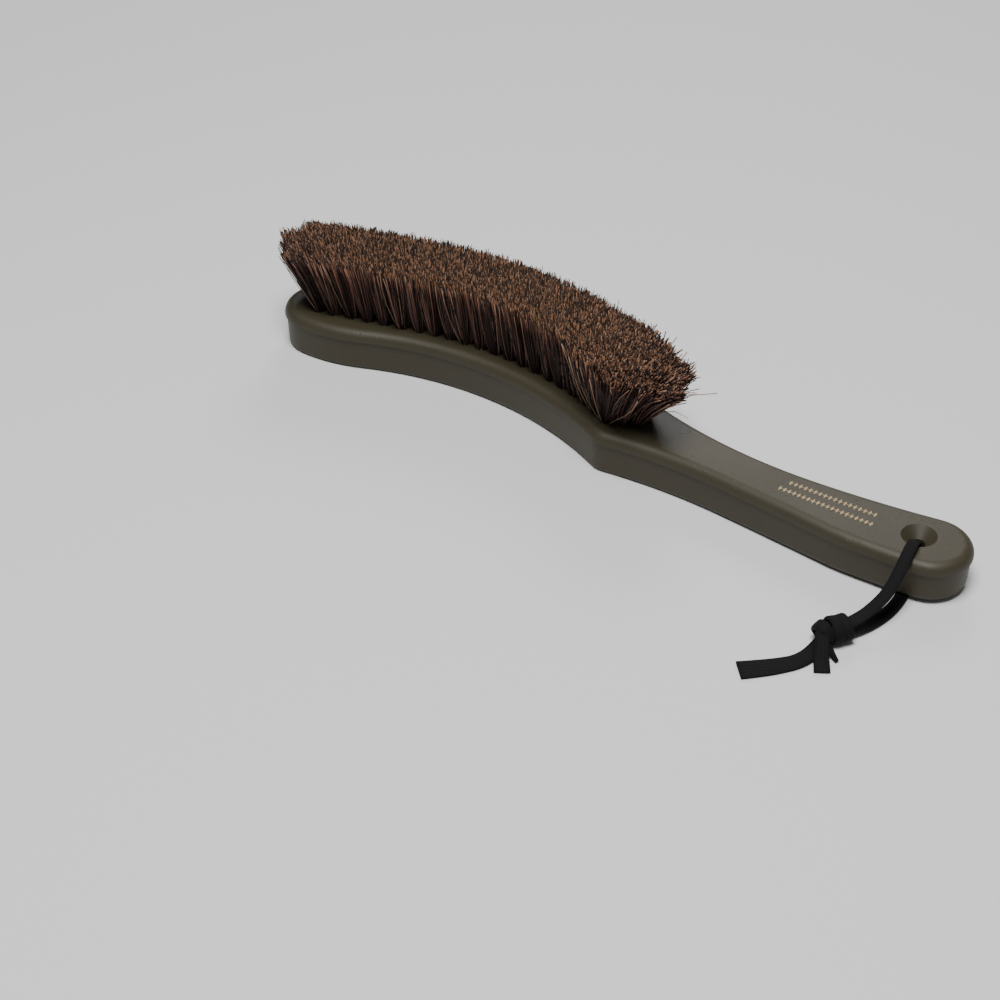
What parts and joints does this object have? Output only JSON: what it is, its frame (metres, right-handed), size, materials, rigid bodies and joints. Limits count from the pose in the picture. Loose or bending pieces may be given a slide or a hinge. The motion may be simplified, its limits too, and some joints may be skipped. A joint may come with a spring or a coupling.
{
  "type": "curved hat brush",
  "caption": "Curved wooden hat and beard brush with a bent head, dense upright hair tufts, a flat tapering handle and a knotted lace through its hanging hole.",
  "frame": {"origin": "middle of the board's footprint, in the plane its back rests on", "axes": "+X from the tip of the head to the end of the handle, +Y towards the outer side of the head's bend, +Z the way the bristles point"},
  "size_m": [0.2842, 0.114, 0.045],
  "materials": {
    "painted_board": "matte olive drab paint over wood",
    "hair": "coarse brown horsehair, lighter at the cut ends",
    "anchor_wire": "drawn wire",
    "foil": "dull gold hot foil",
    "lace": "matte black flat lace"
  },
  "bodies": {
    "root": {"board": "painted_board", "tufts_row_1_tip": "hair", "tufts_row_1_middle": "hair", "tufts_row_1_neck": "hair", "tufts_row_2_tip": "hair", "tufts_row_2_middle": "hair", "tufts_row_2_neck": "hair", "tufts_row_3_tip": "hair", "tufts_row_3_middle": "hair", "tufts_row_3_neck": "hair", "tufts_row_4_tip": "hair", "tufts_row_4_middle": "hair", "tufts_row_4_neck": "hair", "anchor_wires_row_1": "anchor_wire", "anchor_wires_row_2": "anchor_wire", "anchor_wires_row_3": "anchor_wire", "anchor_wires_row_4": "anchor_wire", "foil_ornament": "foil", "lace_upper_strand": "lace", "lace_lower_strand": "lace", "lace_knot": "lace", "lace_long_tail": "lace", "lace_short_tail": "lace"}
  },
  "joints": []
}
